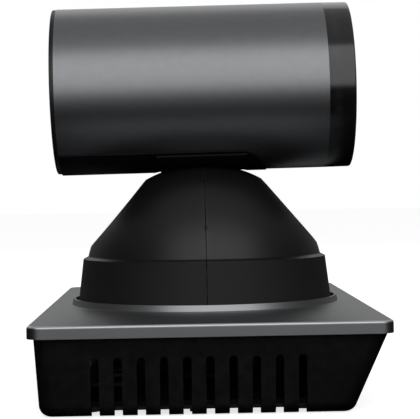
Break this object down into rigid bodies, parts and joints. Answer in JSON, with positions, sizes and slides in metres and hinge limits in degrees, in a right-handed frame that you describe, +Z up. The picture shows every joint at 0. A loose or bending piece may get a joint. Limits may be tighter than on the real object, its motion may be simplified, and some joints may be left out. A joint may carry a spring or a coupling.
{
  "type": "ptz camera",
  "caption": "Pan-tilt-zoom conference camera: cylindrical lens barrel on a domed turning neck over a wide vented base.",
  "frame": {"origin": "middle of the footprint, on the surface under the rubber feet", "axes": "+X the way the lens looks, +Y along the wide base to the camera's left, +Z up"},
  "size_m": [0.1446, 0.24, 0.1761],
  "materials": {
    "grey_paint": "satin metallic grey",
    "black_satin": "satin moulded",
    "black_matte": "fine texture",
    "black_gloss": "polished",
    "ring_black": "satin",
    "smoked_window": "polished, dark red",
    "steel": "zinc plated",
    "dark_steel": "blackened",
    "alloy": "machined",
    "brass": "machined",
    "rubber": "matte",
    "board": "solder mask",
    "chips": "matte",
    "nylon": "moulded",
    "black_coat": "powder coated",
    "lens_glass": "coated"
  },
  "bodies": {
    "base": {"base_housing": "black_matte", "top_plate": "grey_paint", "bottom_plate": "black_coat", "tripod_insert": "brass", "bracket_inserts": "brass", "rubber_feet": "rubber", "bottom_screws": "steel", "ir_window": "smoked_window", "main_board": "board", "board_chips": "chips", "dc_jack": "black_gloss", "serial_ports": "black_gloss", "lan_port": "steel", "usb_port": "steel", "hdmi_port": "steel", "pan_pedestal": "black_coat", "pan_outer_races": "steel", "pan_motor": "dark_steel", "pan_motor_bracket": "black_coat"},
    "pan_head": {"pan_spindle": "alloy", "pan_inner_races": "steel", "pan_gear": "nylon", "turntable": "alloy", "neck_front_shell": "black_satin", "neck_rear_shell": "black_satin", "neck_screws": "steel", "tilt_bracket_right": "alloy", "tilt_bracket_left": "alloy", "tilt_bushings": "brass", "tilt_motor": "steel", "tilt_motor_bracket": "steel"},
    "pan_motor_pinion": {"pan_pinion": "brass"},
    "tilt_motor_pinion": {"tilt_pinion": "brass"},
    "camera_head": {"tilt_arm": "alloy", "tilt_shaft": "steel", "sector_gear": "nylon", "slot_shutter": "black_matte", "throat_saddle": "black_matte", "belly_cover": "black_matte", "barrel_sleeve": "grey_paint", "rear_cap": "black_satin", "front_ring": "ring_black", "lens_hood": "black_matte", "lens_ring": "dark_steel", "front_lens": "lens_glass", "lens_tube": "ring_black", "guide_rods": "steel", "sensor_block": "alloy", "sensor_board": "board", "video_board": "board", "heat_sink": "alloy", "barrel_frame": "steel", "zoom_motor": "steel", "focus_motor": "steel"},
    "zoom_group": {"zoom_carriage": "black_matte", "zoom_lens": "lens_glass"},
    "focus_group": {"focus_carriage": "black_matte", "focus_lens": "lens_glass"}
  },
  "joints": [
    {"name": "pan", "type": "hinge", "parent": "base", "child": "pan_head", "pos_m": [0, 0, 0.0338], "axis": [0, 0, 1], "range_deg": [-170, 170]},
    {"name": "tilt", "type": "hinge", "parent": "pan_head", "child": "camera_head", "pos_m": [0, 0, 0.0455], "axis": [0, -1, 0], "range_deg": [-30.8, 29.2]},
    {"name": "pan_pinion_spin", "type": "hinge", "parent": "base", "child": "pan_motor_pinion", "pos_m": [0, 0.041, 0.0288], "axis": [0, 0, 1], "range_deg": [-876, 876]},
    {"name": "tilt_pinion_spin", "type": "hinge", "parent": "pan_head", "child": "tilt_motor_pinion", "pos_m": [0.02685, 0.0105, 0.061], "axis": [0, -1, 0], "range_deg": [-172, 172]},
    {"name": "zoom", "type": "slide", "parent": "camera_head", "child": "zoom_group", "axis": [0.9999, 0, 0.014], "range_m": [-0.004, 0.018]},
    {"name": "focus", "type": "slide", "parent": "camera_head", "child": "focus_group", "axis": [0.9999, 0, 0.014], "range_m": [-0.004, 0.003]}
  ],
  "couplings": [
    {"joint": "pan_pinion_spin", "follows": "pan", "ratio": -5.1429},
    {"joint": "tilt_pinion_spin", "follows": "tilt", "ratio": -5.5385}
  ]
}
